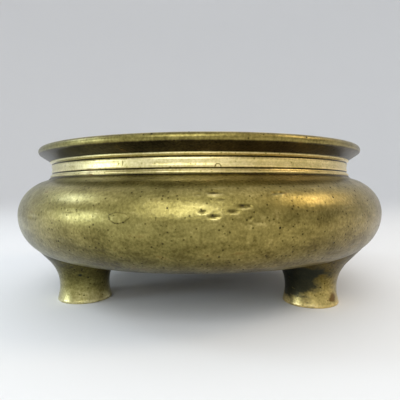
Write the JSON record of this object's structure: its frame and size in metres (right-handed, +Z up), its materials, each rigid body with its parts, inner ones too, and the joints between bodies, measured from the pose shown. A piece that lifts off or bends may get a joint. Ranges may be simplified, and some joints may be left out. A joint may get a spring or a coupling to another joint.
{
  "type": "tripod incense burner",
  "caption": "Round bronze incense burner with a squat bulging bowl, grooved neck, everted lip and short waisted feet riveted on below.",
  "frame": {"origin": "on the bowl's axis, in the plane that the feet stand on", "axes": "+Z up along the bowl's axis, -Y towards the front, where two feet show"},
  "size_m": [0.16, 0.16, 0.063],
  "materials": {
    "bronze": "satin, brushed by wiping, olive gold with fine dark casting pits",
    "rivet_bronze": "satin, hammered",
    "plug_bronze": "satin, a little paler than the bowl"
  },
  "bodies": {
    "root": {"vessel": "bronze", "foot_front_left": "bronze", "foot_front_right": "bronze", "foot_rear": "bronze", "foot_rivet_front_left": "rivet_bronze", "foot_rivet_front_right": "rivet_bronze", "foot_rivet_rear": "rivet_bronze", "neck_plug_rectangular": "plug_bronze", "neck_plug_round": "plug_bronze", "belly_patch": "plug_bronze"}
  },
  "joints": []
}
